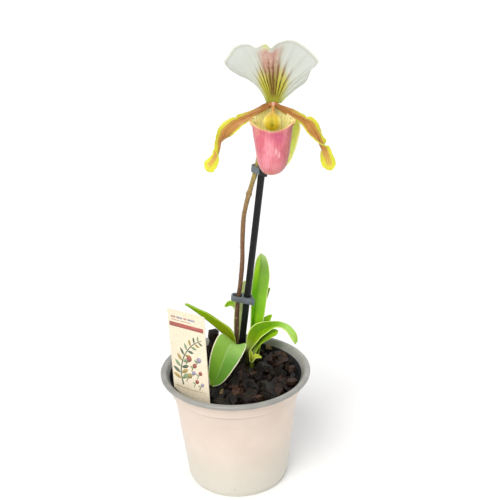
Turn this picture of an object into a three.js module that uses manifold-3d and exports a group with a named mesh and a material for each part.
// A slipper orchid (Paphiopedilum) in a nursery pot, tied to a stake, with a plant card.
// Millimetres, +Z up, front towards -Y. The origin is the centre of the pot's flat base.
import * as THREE from "three";
import { mergeVertices } from "three/addons/utils/BufferGeometryUtils.js";
import Module from "manifold-3d";

const wasm = await Module();
wasm.setup();

// ---------------------------------------------------------------- driving dimensions
const GAP = 0.3; // clearance between touching pieces

const POT_HEIGHT = 72;
const POT_SIDES = 40;
const WALL = 1;
const DRAIN_COUNT = 8;
const DRAIN_RADIUS = 3.2;
const DRAIN_CIRCLE = 22;
// Outer wall as radius and height, from the base up to the rim.
const POT_OUTER = [
  [29.6, 0],
  [30.5, 0.9],
  [32.4, 16],
  [36.4, 51],
  [38.4, 60.2],
  [39.5, 60.8],
  [40.1, 68.7],
  [43.9, 68.9],
  [44.8, 69.6],
  [45, 70.7],
  [44.6, 71.7],
  [43.7, POT_HEIGHT],
];
// Inner wall from the rim down to the floor.
const POT_INNER = [
  [41.8, POT_HEIGHT],
  [41, 71.3],
  [39.2, 68.4],
  [38.6, 61.4],
  [37.5, 60.6],
  [35.4, 51],
  [31.4, 16],
  [29.5, WALL],
];

const BARK_LEVEL = 65; // top of the filled body, under the loose chips
const CHIP_COUNT = 44;
const CHIP_SPREAD = 36; // radius that the chips are scattered over
const CHIP_SEED = 20417;
const STUB = { at: [-13.8, 22, 72.6], size: [6, 4.8, 30], lean: 0.03 };

const STAKE_RADIUS = 2.1;
const STAKE_FOOT = [-1.1, 29.95, 36.2];
const STAKE_TOP = [18.72, 17.62, 194.6];
const SCAPE_RADIUS = 1.35;
const SCAPE = [
  [0, 24.2, 58],
  [0.3, 24.6, 67],
  [0.8, 25, 87],
  [1.9, 24.5, 104],
  [3.9, 23.3, 117],
  [5.4, 21.7, 132],
  [5.9, 20.6, 146.5],
  [7, 19.9, 161],
  [9.3, 19.5, 171.6],
  [11.3, 19.2, 178.4],
  [13.2, 19.1, 184.6],
  [14.7, 19.2, 189.4],
  [16.2, 19.9, 196],
  [18, 20.8, 203.4],
];
const SCAPE_JOINT = 0.655; // share of the scape below its small swelling

// The card drawn flat: x along it, y up from rim level. Its foot narrows into the bark.
const CARD_OUTLINE = [
  [-18.2, 49.2],
  [-17.9, -0.6],
  [-12.9, -3.6],
  [-11.2, -9.6],
  [-7.4, -11.2],
  [-3.5, -15],
  [0.5, -15],
  [6, -10],
  [8.3, -4],
  [8.4, 49.2],
];
const CARD_THICKNESS = 0.6;
const CARD_TURN = -0.62; // about the upright
const CARD_LEAN = [-0.02, -0.05]; // back from the wall, and sideways

const FLOWER = [24.8, 0, 232.8]; // where petals, sepals, lip and ovary meet

// ---------------------------------------------------------------- solids
function manifoldOf(vertices, triangles) {
  return new wasm.Manifold(
    new wasm.Mesh({
      numProp: 3,
      vertProperties: new Float32Array(vertices.flatMap((p) => [p.x, p.y, p.z])),
      triVerts: new Uint32Array(triangles.flat()),
    }),
  );
}

function solid(geometry) {
  const bare = geometry.clone();
  bare.deleteAttribute("normal");
  bare.deleteAttribute("uv");
  const merged = mergeVertices(bare, 1e-3);
  return new wasm.Manifold(
    new wasm.Mesh({
      numProp: 3,
      vertProperties: new Float32Array(merged.attributes.position.array),
      triVerts: new Uint32Array(merged.index.array),
    }),
  );
}

// The largest body that is left of a solid after the cutters are taken away.
function carve(target, ...cutters) {
  const cut = cutters.reduce((left, cutter) => left.subtract(cutter), target);
  const bodies = cut.decompose();
  return bodies.reduce((a, b) => (a.volume() > b.volume() ? a : b));
}

function fuse(solids) {
  return solids.reduce((a, b) => a.add(b));
}

// A smooth line through points, read with a parameter from 0 to 1.
function track(points) {
  const list = points.map((p) => new THREE.Vector3(...p));
  return new THREE.CatmullRomCurve3(list, false, "catmullrom", 0.5);
}

// A thin leaf or petal. Its rib is a line; shape holds half-width, fold and roll (degrees)
// along it; face holds the way that the upper side looks. A wave ruffles both margins.
function bladePoint(spec, lines, u, v, gap) {
  const centre = lines.rib.getPoint(u);
  const along = lines.rib.getTangent(u);
  const [halfWidth, fold, roll] = lines.shape.getPoint(u).toArray();
  const face = lines.face.getPoint(u);
  face.addScaledVector(along, -face.dot(along)).normalize();
  face.applyAxisAngle(along, THREE.MathUtils.degToRad(roll));
  const side = new THREE.Vector3().crossVectors(along, face);
  const angle = THREE.MathUtils.degToRad(fold);
  const reach = (Math.max(halfWidth, 0.4) + gap) * v;
  const [height, cycles, phase] = spec.wave ?? [0, 0, 0];
  const ruffle = height * Math.sin(2 * Math.PI * cycles * u + phase * Math.sign(v));
  const lift = Math.abs(reach) * Math.sin(angle) + ruffle * Math.abs(v) ** 3;
  const point = centre.addScaledVector(side, reach * Math.cos(angle));
  return point.addScaledVector(face, lift);
}

function blade(spec, gap = 0) {
  const lines = {
    rib: track(spec.rib),
    shape: track(spec.shape),
    face: track(spec.face),
  };
  const { rows, columns } = spec;
  const at = (i, j) => {
    const u = THREE.MathUtils.clamp(i / rows, 0, 1);
    const point = bladePoint(spec, lines, u, (2 * j) / columns - 1, gap);
    const push = i === 0 ? -gap : i === rows ? gap : 0;
    return point.addScaledVector(lines.rib.getTangent(u), push);
  };
  return sheet(rows, columns, at, spec.thickness / 2 + gap);
}

// A closed solid of even thickness about a grid of points.
function sheet(rows, columns, at, half) {
  const grid = [];
  for (let i = 0; i <= rows; i++) {
    const row = [];
    for (let j = 0; j <= columns; j++) row.push(at(i, j));
    grid.push(row);
  }
  const top = [];
  const bottom = [];
  for (let i = 0; i <= rows; i++) {
    for (let j = 0; j <= columns; j++) {
      const du = grid[Math.min(i + 1, rows)][j].clone().sub(grid[Math.max(i - 1, 0)][j]);
      const dv = grid[i][Math.min(j + 1, columns)].clone().sub(grid[i][Math.max(j - 1, 0)]);
      const normal = du.cross(dv).normalize();
      top.push(grid[i][j].clone().addScaledVector(normal, half));
      bottom.push(grid[i][j].clone().addScaledVector(normal, -half));
    }
  }
  const offset = top.length;
  const index = (i, j) => i * (columns + 1) + j;
  const triangles = [];
  for (let i = 0; i < rows; i++) {
    for (let j = 0; j < columns; j++) {
      const [a, b, c, d] = [index(i, j), index(i + 1, j), index(i + 1, j + 1), index(i, j + 1)];
      triangles.push([a, b, c], [a, c, d]);
      triangles.push([a + offset, c + offset, b + offset]);
      triangles.push([a + offset, d + offset, c + offset]);
    }
  }
  const border = [];
  for (let i = 0; i < rows; i++) border.push(index(i, 0));
  for (let j = 0; j < columns; j++) border.push(index(rows, j));
  for (let i = rows; i > 0; i--) border.push(index(i, columns));
  for (let j = columns; j > 0; j--) border.push(index(0, j));
  border.forEach((p, k) => {
    const q = border[(k + 1) % border.length];
    triangles.push([q, p, p + offset], [q, p + offset, q + offset]);
  });
  return manifoldOf([...top, ...bottom], triangles);
}

// A closed solid through rings of equally many points, each turning the same way.
function loft(rings) {
  const sides = rings[0].length;
  const vertices = rings.flat();
  const triangles = [];
  for (let r = 0; r + 1 < rings.length; r++) {
    for (let k = 0; k < sides; k++) {
      const [a, b] = [r * sides + k, r * sides + ((k + 1) % sides)];
      triangles.push([a, b, b + sides], [a, b + sides, a + sides]);
    }
  }
  const centre = (ring) =>
    ring.reduce((sum, p) => sum.add(p), new THREE.Vector3()).divideScalar(sides);
  const last = (rings.length - 1) * sides;
  const low = vertices.length;
  for (let k = 0; k < sides; k++) {
    const next = (k + 1) % sides;
    triangles.push([low, next, k], [low + 1, last + k, last + next]);
  }
  return manifoldOf([...vertices, centre(rings[0]), centre(rings.at(-1))], triangles);
}

// A round stem along points; radii are spread evenly from its foot to its end.
function stem(points, radii, sides, steps, gap = 0) {
  const path = track(points);
  const width = track(radii.map((r) => [r, 0, 0]));
  const rings = [];
  const across = new THREE.Vector3(1, 0, 0);
  for (let i = 0; i <= steps; i++) {
    const along = path.getTangent(i / steps);
    across.addScaledVector(along, -across.dot(along)).normalize();
    const over = new THREE.Vector3().crossVectors(along, across);
    const centre = path.getPoint(i / steps);
    centre.addScaledVector(along, i === 0 ? -gap : i === steps ? gap : 0);
    const radius = width.getPoint(i / steps).x + gap;
    const ring = [];
    for (let k = 0; k < sides; k++) {
      const angle = (2 * Math.PI * k) / sides;
      const point = centre.clone().addScaledVector(across, radius * Math.cos(angle));
      ring.push(point.addScaledVector(over, radius * Math.sin(angle)));
    }
    rings.push(ring);
  }
  return loft(rings);
}

// A ring-shaped or full body of revolution about Z from a closed profile of [radius, height].
function turned(profile, sides) {
  const points = profile.map(([r, z]) => new THREE.Vector2(r, z));
  const geometry = new THREE.LatheGeometry(points, sides).rotateX(Math.PI / 2);
  return solid(geometry);
}

function ellipsoid(centre, radii, columns, rows) {
  const geometry = new THREE.SphereGeometry(1, columns, rows);
  return solid(geometry.scale(...radii).translate(...centre));
}

const root = new THREE.Group();
const flower = new THREE.Group();
flower.position.set(...FLOWER);
root.add(flower);

function addPart(group, name, body, color, roughness = 0.6) {
  const mesh = body.getMesh();
  const geometry = new THREE.BufferGeometry();
  geometry.setAttribute("position", new THREE.BufferAttribute(mesh.vertProperties, 3));
  geometry.setIndex(new THREE.BufferAttribute(mesh.triVerts, 1));
  geometry.computeVertexNormals();
  const material = new THREE.MeshStandardMaterial({ color, roughness, metalness: 0 });
  const part = new THREE.Mesh(geometry, material);
  part.name = name;
  group.add(part);
}

// ---------------------------------------------------------------- pot
const potProfile = [[0, 0], ...POT_OUTER, ...POT_INNER, [0, WALL]];
const drains = Array.from({ length: DRAIN_COUNT }, (_, k) => {
  const angle = (2 * Math.PI * (k + 0.5)) / DRAIN_COUNT;
  const geometry = new THREE.CylinderGeometry(DRAIN_RADIUS, DRAIN_RADIUS, 4 * WALL, 12);
  geometry.rotateX(Math.PI / 2);
  geometry.translate(DRAIN_CIRCLE * Math.cos(angle), DRAIN_CIRCLE * Math.sin(angle), 0);
  return solid(geometry);
});
const pot = carve(turned(potProfile, POT_SIDES), ...drains);
addPart(root, "pot", pot, "#e6e4de", 0.45);

// ---------------------------------------------------------------- scape and stake
const scapeRadii = SCAPE.map(() => SCAPE_RADIUS);
scapeRadii[0] = SCAPE_RADIUS + 0.2;
const makeScape = (gap) => {
  const body = stem(SCAPE, scapeRadii, 8, 30, gap);
  const joint = track(SCAPE).getPoint(SCAPE_JOINT).toArray();
  const swelling = ellipsoid(joint, [1.7 + gap, 1.7 + gap, 1.5], 8, 6);
  return body.add(swelling);
};
const scape = makeScape(0);
addPart(root, "scape", scape, "#7a5a3c", 0.7);

const stakeLine = (from, to, radius) => stem([from, to], [radius, radius], 12, 1);
const stakeAxis = new THREE.Vector3(...STAKE_TOP).sub(new THREE.Vector3(...STAKE_FOOT));
const stakePoint = (z) => {
  const share = (z - STAKE_FOOT[2]) / stakeAxis.z;
  return new THREE.Vector3(...STAKE_FOOT).addScaledVector(stakeAxis, share);
};
const stakeHole = stakeLine(
  stakePoint(STAKE_FOOT[2] - GAP).toArray(),
  STAKE_TOP,
  STAKE_RADIUS + GAP,
);
addPart(root, "stake", stakeLine(STAKE_FOOT, STAKE_TOP, STAKE_RADIUS), "#1d2124", 0.45);

// ---------------------------------------------------------------- leaves
const LEAF = { thickness: 1.1, rows: 14, columns: 4 };
const LEAF_SOCKET = [2.4, 3.5, 5.2]; // radii of the hole round a leaf's base
const LEAVES = {
  // Tall leaf that stands behind the stake.
  leaf_1: {
    rib: [
      [10.2, 24.9, 60],
      [10.5, 26.4, 70],
      [11, 29.4, 82],
      [12.2, 31.8, 94],
      [13.6, 33.6, 106],
      [14.9, 34.2, 116],
      [15.9, 33.8, 125],
      [16.4, 33.2, 130],
      [16.6, 33, 132.2],
    ],
    shape: [
      [1.8, 50, 0],
      [2.6, 46, 0],
      [4.6, 38, 0],
      [6, 32, 0],
      [7, 28, 0],
      [7.1, 24, 0],
      [5.6, 20, 0],
      [3.4, 16, 0],
      [0.7, 14, 0],
    ],
    face: [[0.57, -0.82, 0.2]],
  },
  // Narrow pointed leaf that reaches up to the left.
  leaf_2: {
    rib: [
      [-1.7, 21.4, 60],
      [-2, 21.1, 70],
      [-3.2, 20.4, 78],
      [-6.2, 19.6, 83.5],
      [-11, 19.3, 89],
      [-16.5, 19.3, 94.4],
      [-22, 19.4, 99.3],
      [-27.2, 19.5, 103.6],
      [-30.1, 19.5, 105.6],
    ],
    shape: [
      [1.6, 55, 0],
      [2.4, 58, 0],
      [4.2, 60, 0],
      [5.4, 62, 0],
      [5, 62, 0],
      [3.8, 60, 0],
      [2.6, 56, 0],
      [1.5, 50, 0],
      [0.6, 40, 0],
    ],
    face: [
      [0.95, 0.1, 0.1],
      [0.85, 0, 0.5],
      [0.7, 0, 0.7],
      [0.66, -0.05, 0.76],
      [0.66, -0.05, 0.76],
    ],
  },
  // Broad leaf that folds over to the front and hangs down.
  leaf_3: {
    rows: 18,
    rib: [
      [2.9, 20.4, 60],
      [2.6, 20, 70],
      [1.6, 17.4, 76.4],
      [0.1, 13, 80.6],
      [-2.2, 8, 83.2],
      [-4.5, 3, 82.2],
      [-6.9, -3, 78.6],
      [-9.4, -9, 74.4],
      [-12, -14.2, 71],
      [-13.9, -17.2, 69.6],
    ],
    shape: [
      [1.6, 55, 0],
      [2.6, 52, 0],
      [4.6, 38, 0],
      [7.2, 12, 0],
      [9.4, 2, 0],
      [9.5, 4, 0],
      [8.6, 9, 0],
      [6.8, 9, 0],
      [4.3, 9, 0],
      [1, 8, 0],
    ],
    face: [
      [0, 0.95, 0.3],
      [0, 0.95, 0.3],
      [0.15, 0.85, 0.5],
      [0.52, 0.45, 0.74],
      [0.66, 0.05, 0.76],
      [0.5, -0.4, 0.76],
      [0.18, -0.64, 0.75],
      [0.06, -0.65, 0.75],
      [0.05, -0.65, 0.75],
      [0.05, -0.65, 0.75],
    ],
  },
  // Arching leaf on the right, open to the front until it droops over the rim.
  leaf_4: {
    rows: 18,
    rib: [
      [7.4, 20.6, 60],
      [8, 20.8, 69],
      [10.1, 21.4, 75],
      [12.2, 22, 79.6],
      [15, 22.8, 83.3],
      [19, 23.8, 85.5],
      [23.6, 24.6, 86.7],
      [28.3, 24.8, 86.3],
      [33, 24.6, 83.5],
      [36.1, 23.8, 79.1],
      [37.4, 23, 75.4],
    ],
    shape: [
      [1.6, 60, 0],
      [2.6, 60, 0],
      [4, 46, 0],
      [5.7, 36, 0],
      [6.1, 32, 0],
      [5, 29, 0],
      [3.7, 26, 0],
      [3.9, 18, 0],
      [5.3, 10, 0],
      [5.1, 8, 0],
      [2.2, 8, 0],
    ],
    face: [
      [-0.7, -0.4, 0.2],
      [-0.65, -0.5, 0.3],
      [-0.55, -0.6, 0.45],
      [-0.44, -0.62, 0.65],
      [-0.35, -0.58, 0.72],
      [-0.2, -0.5, 0.82],
      [-0.05, -0.3, 0.95],
      [0.2, -0.05, 0.95],
      [0.6, -0.1, 0.78],
      [0.86, -0.26, 0.42],
      [0.92, -0.28, 0.3],
    ],
  },
  // Short broad leaf under the arching one.
  leaf_5: {
    rib: [
      [10.6, 18.4, 60],
      [11.4, 18.4, 69.5],
      [14, 19, 76.8],
      [16.7, 19.4, 80.2],
      [19.9, 19.6, 82.5],
      [22.7, 19.7, 84.2],
      [25.1, 19.7, 85.4],
      [26.2, 19.6, 86],
    ],
    shape: [
      [1.5, 50, 0],
      [1.6, 45, 0],
      [2, 30, 0],
      [2.4, 20, 0],
      [2.7, 14, 0],
      [2.7, 10, 0],
      [2.1, 8, 0],
      [0.8, 8, 0],
    ],
    face: [
      [-0.6, -0.6, 0.2],
      [-0.5, -0.65, 0.45],
      [-0.25, -0.65, 0.7],
      [-0.15, -0.6, 0.78],
      [-0.1, -0.6, 0.78],
    ],
  },
  // Pointed leaf that leans back on the right.
  leaf_6: {
    rib: [
      [13.2, 22, 60],
      [14, 23.4, 70],
      [15.8, 27, 78.6],
      [18.2, 30.6, 84.6],
      [20.8, 32.8, 88.2],
      [22.9, 33.6, 90.2],
    ],
    shape: [
      [1.4, 50, 0],
      [2.2, 46, 0],
      [3.6, 36, 0],
      [3.8, 28, 0],
      [2.4, 22, 0],
      [0.5, 20, 0],
    ],
    face: [
      [-0.6, -0.7, 0.2],
      [-0.55, -0.7, 0.4],
      [-0.35, -0.6, 0.7],
    ],
  },
  // Narrow pale leaf behind the scape.
  leaf_7: {
    rib: [
      [1.2, 30.9, 60],
      [1, 31.2, 72],
      [1.3, 31.4, 86],
      [2.6, 31.8, 99],
      [4.8, 32.2, 109],
      [6.3, 32.4, 114.6],
    ],
    shape: [
      [1.4, 40, 0],
      [2.2, 36, 0],
      [3.1, 30, 0],
      [3, 26, 0],
      [2, 20, 0],
      [0.7, 16, 0],
    ],
    face: [[0.1, -1, 0.1]],
  },
  // Leaf at the back whose tip curls out to the left.
  leaf_8: {
    rib: [
      [-1.6, 33.2, 60],
      [-0.6, 33.6, 71],
      [0.4, 34.4, 83],
      [0.8, 35.2, 92],
      [-0.6, 35.4, 97],
      [-3.6, 34.8, 98.2],
      [-6.4, 33.8, 96.4],
    ],
    shape: [
      [1.2, 45, 0],
      [1.4, 42, 0],
      [1.6, 36, 0],
      [1.8, 28, 0],
      [1.9, 24, 0],
      [1.9, 20, 0],
      [0.7, 18, 0],
    ],
    face: [
      [0.3, -0.95, 0.2],
      [0.3, -0.9, 0.3],
      [-0.2, -0.8, 0.5],
    ],
  },
  // Slender leaf behind the tall one.
  leaf_9: {
    rib: [
      [14.4, 29.6, 60],
      [14.4, 31.8, 71],
      [14.8, 35, 84],
      [16.8, 37.6, 95],
      [19.4, 38.6, 102],
      [21.8, 38.8, 106.4],
    ],
    shape: [
      [1.4, 45, 0],
      [1.8, 40, 0],
      [2.2, 32, 0],
      [2.4, 26, 0],
      [1.9, 20, 0],
      [0.7, 16, 0],
    ],
    face: [[-0.4, -0.9, 0.2]],
  },
};
const LEAF_COLOURS = {
  leaf_1: "#69a83c",
  leaf_2: "#7f9c35",
  leaf_3: "#6fae4f",
  leaf_4: "#78ad45",
  leaf_5: "#7cb23a",
  leaf_6: "#5f9636",
  leaf_7: "#a9bd62",
  leaf_8: "#6d9c34",
  leaf_9: "#4f8434",
};
const trackable = (list) => (list.length > 1 ? list : [list[0], list[0]]);
const leafSpec = (name) => {
  const spec = { ...LEAF, ...LEAVES[name] };
  return { ...spec, face: trackable(spec.face) };
};
const holes = [stakeHole, makeScape(GAP)];
const sockets = []; // plain holes in the bark for the leaf bases
for (const name of Object.keys(LEAVES)) {
  const spec = leafSpec(name);
  const body = carve(blade(spec), ...holes);
  holes.push(blade(spec, GAP));
  sockets.push(stem(spec.rib.slice(0, 3), LEAF_SOCKET, 8, 3, GAP));
  addPart(root, name, body, LEAF_COLOURS[name], 0.4);
}

// Young shoot beside the fan: a stub with two leaflets.
const SHOOT = {
  stub: [
    [9.9, 14, 60],
    [9.8, 14, 67],
    [9.5, 14.6, 72],
  ],
  leaflets: [
    {
      rib: [
        [9.6, 14.2, 69],
        [9.4, 14.8, 72.6],
        [9.1, 15.2, 75.4],
      ],
      shape: [
        [1.4, 30, 0],
        [1.5, 26, 0],
        [0.6, 20, 0],
      ],
      face: trackable([[0.2, -1, 0.2]]),
    },
    {
      rib: [
        [9.8, 13.8, 68.6],
        [12.4, 13.2, 71.8],
        [15.9, 12.6, 71.6],
      ],
      shape: [
        [1.4, 30, 0],
        [1.8, 24, 0],
        [0.6, 20, 0],
      ],
      face: trackable([[-0.1, -0.5, 0.85]]),
    },
  ],
};
const shoot = fuse([
  stem(SHOOT.stub, [1.7, 1.6, 1.2], 8, 5),
  ...SHOOT.leaflets.map((leaflet) => blade({ ...leaflet, thickness: 0.9, rows: 6, columns: 4 })),
]);
addPart(root, "shoot", carve(shoot, ...holes), "#b7c64a", 0.45);
sockets.push(stem(SHOOT.stub, [1.9, 2.5, 4], 8, 3, GAP));

// ---------------------------------------------------------------- plant card
function cardGeometry(gap) {
  const outline = new THREE.Shape(
    CARD_OUTLINE.map(([x, y]) => new THREE.Vector2(x + gap * Math.sign(x + 5), y - gap * (y < 0))),
  );
  const depth = CARD_THICKNESS + 2 * gap;
  const geometry = new THREE.ExtrudeGeometry(outline, { depth, bevelEnabled: false });
  return geometry.translate(0, 0, -depth / 2);
}
const cardPlace = new THREE.Object3D();
cardPlace.position.set(-20.8, -29.1, POT_HEIGHT);
cardPlace.rotation.order = "ZYX";
cardPlace.rotation.set(Math.PI / 2 + CARD_LEAN[0], CARD_LEAN[1], CARD_TURN);
cardPlace.updateMatrix();
const placedCard = (gap) => solid(cardGeometry(gap).applyMatrix4(cardPlace.matrix));
addPart(root, "plant_card", placedCard(0), "#ece4d0", 0.6);

// ---------------------------------------------------------------- bark
let seed = CHIP_SEED;
function random() {
  seed = (seed * 1103515245 + 12345) % 2147483648;
  return seed / 2147483648;
}
const between = (low, high) => low + (high - low) * random();

function chip([x, y, z], size, turn) {
  const box = new THREE.BoxGeometry(...size);
  const merged = mergeVertices(box.deleteAttribute("normal").deleteAttribute("uv"), 1e-3);
  const corners = merged.attributes.position;
  for (let k = 0; k < corners.count; k++) {
    corners.setXYZ(
      k,
      corners.getX(k) * between(0.62, 1.05),
      corners.getY(k) * between(0.62, 1.05),
      corners.getZ(k) * between(0.7, 1.05),
    );
  }
  const pose = new THREE.Object3D();
  pose.position.set(x, y, z);
  pose.rotation.set(...turn);
  pose.updateMatrix();
  return solid(merged.applyMatrix4(pose.matrix));
}

const chips = Array.from({ length: CHIP_COUNT }, () => {
  const radius = CHIP_SPREAD * Math.sqrt(random());
  const angle = 2 * Math.PI * random();
  const place = [radius * Math.cos(angle), radius * Math.sin(angle), BARK_LEVEL + between(0, 1.6)];
  const size = [between(9, 15), between(6, 10), between(3.4, 5.4)];
  const turn = [between(-0.35, 0.35), between(-0.35, 0.35), between(0, Math.PI)];
  return chip(place, size, turn);
});
const stub = chip(STUB.at, STUB.size, [STUB.lean, STUB.lean, 0.3]);
const inside = turned(
  [
    [0, WALL + GAP],
    [29.5 - GAP, WALL + GAP],
    [31.4 - GAP, 16],
    [35.4 - GAP, 51],
    [37.5 - GAP, 60.6],
    [38.2 - GAP, 61.4],
    [38.2 - GAP, 90],
    [0, 90],
  ],
  40,
);
const filling = turned(
  [
    [0, WALL + GAP],
    [29.2, WALL + GAP],
    [38, BARK_LEVEL],
    [0, BARK_LEVEL],
  ],
  40,
);
const bark = carve(
  fuse([filling, ...chips, stub]).intersect(inside),
  stakeHole,
  makeScape(GAP),
  placedCard(GAP),
  ...sockets,
);
addPart(root, "bark_mix", bark, "#2e211a", 0.9);

// ---------------------------------------------------------------- clips
// A flat plastic clip: a ring round the stake, a slot for the scape and a latch corner.
// Drawn in plan with the stake at the origin; reach is the slot's end, to the left.
function clipBody({ reach, height, wall, divided }) {
  const ring = STAKE_RADIUS + GAP;
  const outer = ring + wall;
  const slot = SCAPE_RADIUS + 2 * GAP;
  const shape = new THREE.Shape();
  shape.moveTo(-reach, slot + wall);
  shape.absarc(-reach, 0, slot + wall, Math.PI / 2, (3 * Math.PI) / 2, false);
  shape.lineTo(outer + 0.6, -slot - wall - 2.2);
  shape.lineTo(outer + 1.5, -slot - wall - 1.2);
  shape.lineTo(outer, 0);
  shape.absarc(0, 0, outer, 0, Math.PI / 2, false);
  shape.lineTo(-reach, slot + wall);
  const hole = new THREE.Path();
  hole.absarc(0, 0, ring, 0, 2 * Math.PI, true);
  const gutter = new THREE.Path();
  gutter.moveTo(-reach, -slot);
  gutter.absarc(-reach, 0, slot, (3 * Math.PI) / 2, Math.PI / 2, true);
  if (divided) {
    gutter.lineTo(-outer - 0.1, slot);
    gutter.lineTo(-outer - 0.1, -slot);
    shape.holes = [hole, gutter];
  } else {
    gutter.lineTo(0, ring);
    gutter.absarc(0, 0, ring, Math.PI / 2, -Math.PI / 2, true);
    shape.holes = [gutter];
  }
  const geometry = new THREE.ExtrudeGeometry(shape, {
    depth: height,
    bevelEnabled: false,
    curveSegments: 8,
  });
  return geometry.translate(0, 0, -height / 2);
}
const CLIPS = {
  clip_lower: { z: 106.3, reach: 7, height: 3.4, wall: 0.9, turn: 0, divided: true },
  clip_upper: { z: 190.2, reach: 3.7, height: 3.8, wall: 0.8, turn: -0.34, divided: false },
};
for (const [name, clip] of Object.entries(CLIPS)) {
  const place = new THREE.Object3D();
  place.position.copy(stakePoint(clip.z));
  place.quaternion.setFromUnitVectors(
    new THREE.Vector3(0, 0, 1),
    stakeAxis.clone().normalize(),
  );
  place.rotateZ(clip.turn);
  place.updateMatrix();
  const body = solid(clipBody(clip).applyMatrix4(place.matrix));
  addPart(root, name, body, "#4d5358", 0.5);
}

// ---------------------------------------------------------------- flower
// Everything here is measured from the point where the flower's organs meet.
const COLUMN = {
  hub: { at: [-0.1, 1.2, -0.6], size: [2.3, 2.6, 2.3] },
  stalk: [
    [-0.1, 0, -0.8],
    [-0.3, -4, -2.2],
    [-0.8, -7.4, -5],
  ],
  shield: { at: [-1, -8.2, -7.8], size: [4.7, 1.5, 4.7] },
};
const makeColumn = (gap) => {
  const { hub, stalk, shield } = COLUMN;
  const grown = (size) => size.map((r) => r + gap);
  return fuse([
    ellipsoid(hub.at, grown(hub.size), 12, 8),
    stem(stalk, [1.7, 1.6, 1.5], 8, 5, gap),
    ellipsoid(shield.at, grown(shield.size), 12, 8),
  ]);
};
const column = makeColumn(0);
const columnRoom = makeColumn(GAP);
addPart(flower, "column_staminode", column, "#e3d43c", 0.5);

// Ovary: the ribbed stalk behind the flower, bent forward from the end of the scape.
const OVARY = [
  [-6.65, 20.9, -28.9],
  [-5.2, 21.3, -22],
  [-3.2, 20.6, -12],
  [-1.4, 17, -4],
  [-0.3, 11, -0.6],
  [-0.1, 3.6, -0.4],
];
const OVARY_RADII = [1.35, 1.6, 1.9, 2, 1.8, 1.7];
const makeOvary = (gap) => stem(OVARY, OVARY_RADII, 10, 16, gap);
const ovary = carve(makeOvary(0), columnRoom);
const ovaryRoom = makeOvary(GAP);
addPart(flower, "ovary", ovary, "#7d7a3e", 0.7);

const BRACT = {
  thickness: 0.8,
  rows: 9,
  columns: 6,
  rib: [
    [-8.4, 22.6, -29],
    [-7.2, 23.4, -23],
    [-5.4, 23.6, -17],
    [-4.2, 24.4, -12.6],
  ],
  shape: [
    [2.6, 48, 0],
    [3.2, 46, 0],
    [2.6, 38, 0],
    [0.7, 30, 0],
  ],
  face: trackable([[0.55, -0.8, 0]]),
};
addPart(flower, "bract", carve(blade(BRACT), ovaryRoom), "#8aa044", 0.5);

// Dorsal sepal: fibres fan out from the base to the margin; margin points are [x, z].
const DORSAL = {
  margin: [
    [-17.5, 13.3],
    [-22.2, 16.3],
    [-25.5, 19.7],
    [-25.9, 22.1],
    [-23.9, 24.8],
    [-20.9, 29],
    [-18, 30.6],
    [-14.7, 31],
    [-11.9, 30.4],
    [-9.1, 28.8],
    [-6.3, 30.1],
    [-3.4, 31],
    [-1.1, 29.1],
    [1.7, 30.9],
    [5, 32.2],
    [8.8, 32.6],
    [12.6, 31.6],
    [17.3, 28.7],
    [21.1, 25.3],
    [24.4, 21.5],
    [23.5, 18.7],
    [20.6, 16.4],
    [19.4, 13.1],
    [17.3, 9.3],
    [13.5, 6.9],
  ],
  bend: [
    [-6.5, 10.5],
    [-5.5, 13.5],
    [-1, 15],
    [6, 11.5],
    [8.2, 3.4],
  ],
  base: [
    [-3.9, -0.5],
    [4.1, -0.9],
  ],
  thickness: 0.8,
  rows: 7,
  columns: 38,
};
const flat = (list) => track(list.map(([x, z]) => [x, 0, z]));
const dorsalLines = {
  margin: flat(DORSAL.margin),
  bend: flat(DORSAL.bend),
  base: flat(DORSAL.base),
};
function dorsalPoint(t, s) {
  const from = dorsalLines.base.getPoint(s);
  const over = dorsalLines.bend.getPoint(s);
  const to = dorsalLines.margin.getPoint(s);
  const point = from.multiplyScalar((1 - t) ** 2);
  point.addScaledVector(over, 2 * t * (1 - t)).addScaledVector(to, t * t);
  const aside = 2 * s - 1; // 0 on the fibre that ends in the crest
  const crest = Math.exp(-((aside / 0.14) ** 2));
  const ripple = 0.6 * Math.sin(19 * s + 0.6);
  point.y = 2.8 + 3.4 * t + t * t * (2 * aside * aside - 1.6 + ripple) - 2.4 * crest * t ** 4;
  return point;
}
const dorsal = sheet(
  DORSAL.rows,
  DORSAL.columns,
  (i, j) => dorsalPoint(i / DORSAL.rows, j / DORSAL.columns),
  DORSAL.thickness / 2,
);
addPart(flower, "dorsal_sepal", carve(dorsal, columnRoom, ovaryRoom), "#e4e2cf", 0.5);

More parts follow.
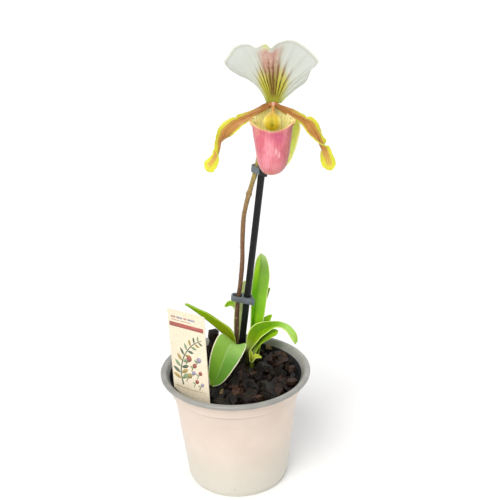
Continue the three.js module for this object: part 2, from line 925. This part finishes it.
const PETAL = { thickness: 0.8, rows: 26, columns: 6 };
const TOWARDS_FRONT = trackable([[0, -1, 0]]);
const PETALS = {
  petal_left: {
    rib: [
      [-2.6, -0.2, -1.4],
      [-9.3, -1, -4.7],
      [-15.5, -2.4, -7.4],
      [-20.7, -3.2, -10],
      [-25.8, -3.8, -13.7],
      [-28.5, -4, -18.5],
      [-29.4, -4, -23.6],
      [-31, -4, -28],
      [-33.9, -4, -31.8],
      [-36.2, -4, -34],
      [-37.6, -4, -35.2],
    ],
    shape: [
      [1.6, 20, 44],
      [2.3, 18, 44],
      [3, 14, 36],
      [3.8, 8, 16],
      [4.4, 6, 0],
      [4.6, 12, -48],
      [4, 24, -84],
      [4, 12, -120],
      [3.7, 2, -146],
      [3.2, 0, -150],
      [0.9, 0, -150],
    ],
    face: TOWARDS_FRONT,
    wave: [0.7, 4.5, 0.9],
  },
  petal_right: {
    rib: [
      [1.5, -0.2, -1.4],
      [7.6, -1, -4.7],
      [13.7, -2.4, -7.8],
      [18.6, -3.2, -10.4],
      [21.4, -3.8, -14.7],
      [23.5, -4, -19],
      [25.1, -4, -23.3],
      [27.2, -4, -27.1],
      [29.1, -4, -31.5],
      [29.8, -4, -34.8],
      [29.8, -4, -36.9],
    ],
    shape: [
      [1.6, 20, -44],
      [2.3, 18, -44],
      [2.8, 14, -36],
      [3.7, 8, -20],
      [4.1, 6, -28],
      [4.2, 10, -58],
      [4.2, 20, -88],
      [4.4, 12, -134],
      [4.2, 2, -158],
      [3, 0, -160],
      [0.9, 0, -160],
    ],
    face: TOWARDS_FRONT,
    wave: [0.7, 4.5, 2.1],
  },
};
const petalRooms = []; // kept free of the lip's rim, which the petals pass over
for (const [name, petal] of Object.entries(PETALS)) {
  const spec = { ...PETAL, ...petal };
  const body = carve(blade(spec), columnRoom, ovaryRoom);
  petalRooms.push(blade(spec, GAP));
  addPart(flower, name, body, "#b98a3c", 0.5);
}

// Synsepal: the two joined lower sepals, behind the lip.
const SYNSEPAL = {
  thickness: 0.8,
  rows: 14,
  columns: 8,
  rib: [
    [0, 2.8, -1.4],
    [1.2, 4, -7],
    [2, 5, -13],
    [1.8, 5.6, -20],
    [1.1, 6, -27],
    [0.1, 6.2, -33.6],
    [-0.8, 6.2, -38.4],
    [-1.2, 6.1, -40.4],
  ],
  shape: [
    [2, 10, 0],
    [9.4, 12, 0],
    [12.9, 14, 0],
    [12.1, 14, 0],
    [10.7, 12, 0],
    [8.6, 10, 0],
    [4.6, 8, 0],
    [0.9, 8, 0],
  ],
  face: TOWARDS_FRONT,
};
const synsepal = carve(blade(SYNSEPAL), columnRoom, ovaryRoom);
addPart(flower, "synsepal", synsepal, "#b9c46a", 0.5);

// Lip: the open pouch. Rows run from the rim to the toe: centre, half-width and half-depth.
const POUCH = {
  thickness: 0.9,
  sides: 26,
  rows: [
    { at: [-0.8, -8, -7.1], size: [11.8, 9.4] },
    { at: [-0.8, -8.3, -9.6], size: [10.8, 9.3] },
    { at: [-0.8, -8.8, -14], size: [10.5, 9.4] },
    { at: [-0.8, -9.6, -19], size: [9.8, 9.6] },
    { at: [-0.8, -10.4, -24], size: [9.1, 9.4] },
    { at: [-1, -11.2, -28.6], size: [8.3, 8.6] },
    { at: [-1.1, -11.8, -31.8], size: [7.1, 7.2] },
    { at: [-1.4, -12.1, -34.3], size: [5.2, 5.4] },
    { at: [-1.6, -12.2, -35.7], size: [2.6, 2.8] },
  ],
  rim: { back: 3.6, front: -4.4 },
};
function pouchRing({ at, size }, index, shrink) {
  const lift = Math.max(0, 1 - index / 5) ** 2;
  const ring = [];
  for (let k = 0; k < POUCH.sides; k++) {
    const angle = (2 * Math.PI * k) / POUCH.sides;
    const [c, s] = [Math.cos(angle), Math.sin(angle)];
    const shift = s > 0 ? POUCH.rim.back * s ** 4 : POUCH.rim.front * s * s;
    ring.push(
      new THREE.Vector3(
        at[0] + (size[0] - shrink) * c,
        at[1] + (size[1] - shrink) * s,
        at[2] + shift * lift,
      ),
    );
  }
  return ring;
}
const pouchOutside = POUCH.rows.map((row, k) => pouchRing(row, k, 0)).reverse();
const pouchInside = POUCH.rows.slice(0, -1).map((row, k) => {
  const rings = pouchRing(row, k, POUCH.thickness);
  return rings.map((p) => p.setZ(p.z + POUCH.thickness * (k / POUCH.rows.length)));
});
const cup = loft([...pouchOutside, ...pouchInside]);
const pouch = carve(cup, columnRoom, ovaryRoom, ...petalRooms);
addPart(flower, "pouch", pouch, "#c96f80", 0.5);

export default root;
